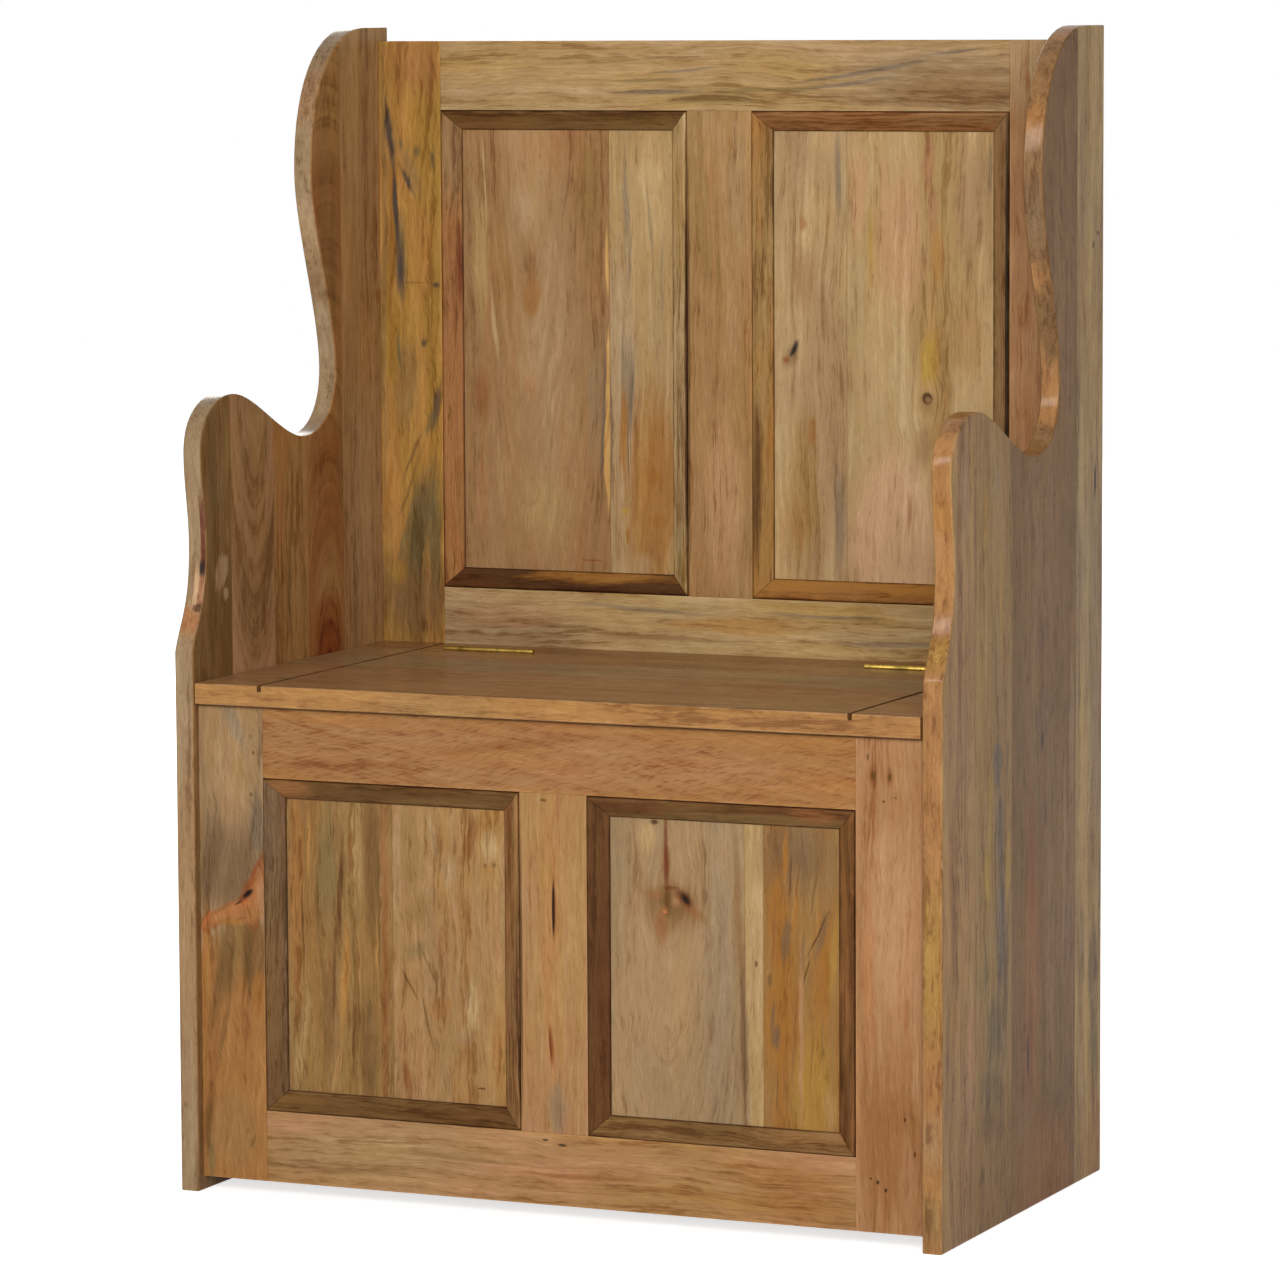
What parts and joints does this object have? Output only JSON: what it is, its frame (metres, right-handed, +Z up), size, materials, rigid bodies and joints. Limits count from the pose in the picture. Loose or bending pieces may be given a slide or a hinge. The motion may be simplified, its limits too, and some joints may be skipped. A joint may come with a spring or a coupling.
{
  "type": "settle bench",
  "caption": "High-backed wooden settle bench with shaped end boards, panelled front and back, and a hinged lift-up seat over a storage chest.",
  "frame": {"origin": "on the floor, under the middle of the bench's bounding box", "axes": "+Z up, -Y to the front where a person sits facing, +X to the right end as seen from the front"},
  "size_m": [0.8, 0.44, 1.135],
  "materials": {
    "left_end_board": "satin lacquered solid mango wood",
    "right_end_board": "satin lacquered solid mango wood",
    "front_left_stile": "satin lacquered solid mango wood",
    "front_right_stile": "satin lacquered solid mango wood",
    "front_muntin": "satin lacquered solid mango wood",
    "front_top_rail": "satin lacquered solid mango wood",
    "front_bottom_rail": "satin lacquered solid mango wood",
    "front_left_panel": "satin lacquered solid mango wood",
    "front_right_panel": "satin lacquered solid mango wood",
    "back_left_stile": "satin lacquered solid mango wood",
    "back_right_stile": "satin lacquered solid mango wood",
    "back_muntin": "satin lacquered solid mango wood",
    "back_top_rail": "satin lacquered solid mango wood",
    "back_seat_rail": "satin lacquered solid mango wood",
    "back_bottom_rail": "satin lacquered solid mango wood",
    "back_left_panel": "satin lacquered solid mango wood",
    "back_right_panel": "satin lacquered solid mango wood",
    "back_lower_panel": "plain sanded wood",
    "front_left_panel_moulding_left": "stained and satin lacquered wood",
    "front_left_panel_moulding_right": "stained and satin lacquered wood",
    "front_left_panel_moulding_top": "stained and satin lacquered wood",
    "front_left_panel_moulding_bottom": "stained and satin lacquered wood",
    "front_right_panel_moulding_left": "stained and satin lacquered wood",
    "front_right_panel_moulding_right": "stained and satin lacquered wood",
    "front_right_panel_moulding_top": "stained and satin lacquered wood",
    "front_right_panel_moulding_bottom": "stained and satin lacquered wood",
    "back_left_panel_moulding_left": "stained and satin lacquered wood",
    "back_left_panel_moulding_right": "stained and satin lacquered wood",
    "back_left_panel_moulding_top": "stained and satin lacquered wood",
    "back_left_panel_moulding_bottom": "stained and satin lacquered wood",
    "back_right_panel_moulding_left": "stained and satin lacquered wood",
    "back_right_panel_moulding_right": "stained and satin lacquered wood",
    "back_right_panel_moulding_top": "stained and satin lacquered wood",
    "back_right_panel_moulding_bottom": "stained and satin lacquered wood",
    "chest_floor": "plain sanded wood",
    "floor_cleat_front": "plain sanded wood",
    "floor_cleat_back": "plain sanded wood",
    "seat_cleat_left": "plain sanded wood",
    "seat_cleat_right": "plain sanded wood",
    "seat_lid": "satin lacquered solid mango wood",
    "seat_strip": "satin lacquered solid mango wood",
    "left_hinge_fixed_leaf": "polished brass",
    "left_hinge_fixed_screw_1": "polished brass",
    "left_hinge_fixed_screw_2": "polished brass",
    "left_hinge_fixed_screw_3": "polished brass",
    "left_hinge_lid_leaf": "polished brass",
    "left_hinge_lid_screw_1": "polished brass",
    "left_hinge_lid_screw_2": "polished brass",
    "left_hinge_lid_screw_3": "polished brass",
    "left_hinge_pin": "polished brass",
    "right_hinge_fixed_leaf": "polished brass",
    "right_hinge_fixed_screw_1": "polished brass",
    "right_hinge_fixed_screw_2": "polished brass",
    "right_hinge_fixed_screw_3": "polished brass",
    "right_hinge_lid_leaf": "polished brass",
    "right_hinge_lid_screw_1": "polished brass",
    "right_hinge_lid_screw_2": "polished brass",
    "right_hinge_lid_screw_3": "polished brass",
    "right_hinge_pin": "polished brass"
  },
  "bodies": {
    "carcase": {"left_end_board": "left_end_board", "right_end_board": "right_end_board", "front_left_stile": "front_left_stile", "front_right_stile": "front_right_stile", "front_muntin": "front_muntin", "front_top_rail": "front_top_rail", "front_bottom_rail": "front_bottom_rail", "front_left_panel": "front_left_panel", "front_right_panel": "front_right_panel", "back_left_stile": "back_left_stile", "back_right_stile": "back_right_stile", "back_muntin": "back_muntin", "back_top_rail": "back_top_rail", "back_seat_rail": "back_seat_rail", "back_bottom_rail": "back_bottom_rail", "back_left_panel": "back_left_panel", "back_right_panel": "back_right_panel", "back_lower_panel": "back_lower_panel", "front_left_panel_moulding_left": "front_left_panel_moulding_left", "front_left_panel_moulding_right": "front_left_panel_moulding_right", "front_left_panel_moulding_top": "front_left_panel_moulding_top", "front_left_panel_moulding_bottom": "front_left_panel_moulding_bottom", "front_right_panel_moulding_left": "front_right_panel_moulding_left", "front_right_panel_moulding_right": "front_right_panel_moulding_right", "front_right_panel_moulding_top": "front_right_panel_moulding_top", "front_right_panel_moulding_bottom": "front_right_panel_moulding_bottom", "back_left_panel_moulding_left": "back_left_panel_moulding_left", "back_left_panel_moulding_right": "back_left_panel_moulding_right", "back_left_panel_moulding_top": "back_left_panel_moulding_top", "back_left_panel_moulding_bottom": "back_left_panel_moulding_bottom", "back_right_panel_moulding_left": "back_right_panel_moulding_left", "back_right_panel_moulding_right": "back_right_panel_moulding_right", "back_right_panel_moulding_top": "back_right_panel_moulding_top", "back_right_panel_moulding_bottom": "back_right_panel_moulding_bottom", "chest_floor": "chest_floor", "floor_cleat_front": "floor_cleat_front", "floor_cleat_back": "floor_cleat_back", "seat_cleat_left": "seat_cleat_left", "seat_cleat_right": "seat_cleat_right", "seat_strip": "seat_strip", "left_hinge_fixed_leaf": "left_hinge_fixed_leaf", "left_hinge_fixed_screw_1": "left_hinge_fixed_screw_1", "left_hinge_fixed_screw_2": "left_hinge_fixed_screw_2", "left_hinge_fixed_screw_3": "left_hinge_fixed_screw_3", "left_hinge_pin": "left_hinge_pin", "right_hinge_fixed_leaf": "right_hinge_fixed_leaf", "right_hinge_fixed_screw_1": "right_hinge_fixed_screw_1", "right_hinge_fixed_screw_2": "right_hinge_fixed_screw_2", "right_hinge_fixed_screw_3": "right_hinge_fixed_screw_3", "right_hinge_pin": "right_hinge_pin"},
    "lid": {"seat_lid": "seat_lid", "left_hinge_lid_leaf": "left_hinge_lid_leaf", "left_hinge_lid_screw_1": "left_hinge_lid_screw_1", "left_hinge_lid_screw_2": "left_hinge_lid_screw_2", "left_hinge_lid_screw_3": "left_hinge_lid_screw_3", "right_hinge_lid_leaf": "right_hinge_lid_leaf", "right_hinge_lid_screw_1": "right_hinge_lid_screw_1", "right_hinge_lid_screw_2": "right_hinge_lid_screw_2", "right_hinge_lid_screw_3": "right_hinge_lid_screw_3"}
  },
  "joints": [
    {"name": "lid_hinge", "type": "hinge", "parent": "carcase", "child": "lid", "pos_m": [0, 0.138, 0.5042], "axis": [-1, 0, 0], "range_deg": [0, 99.3]}
  ]
}
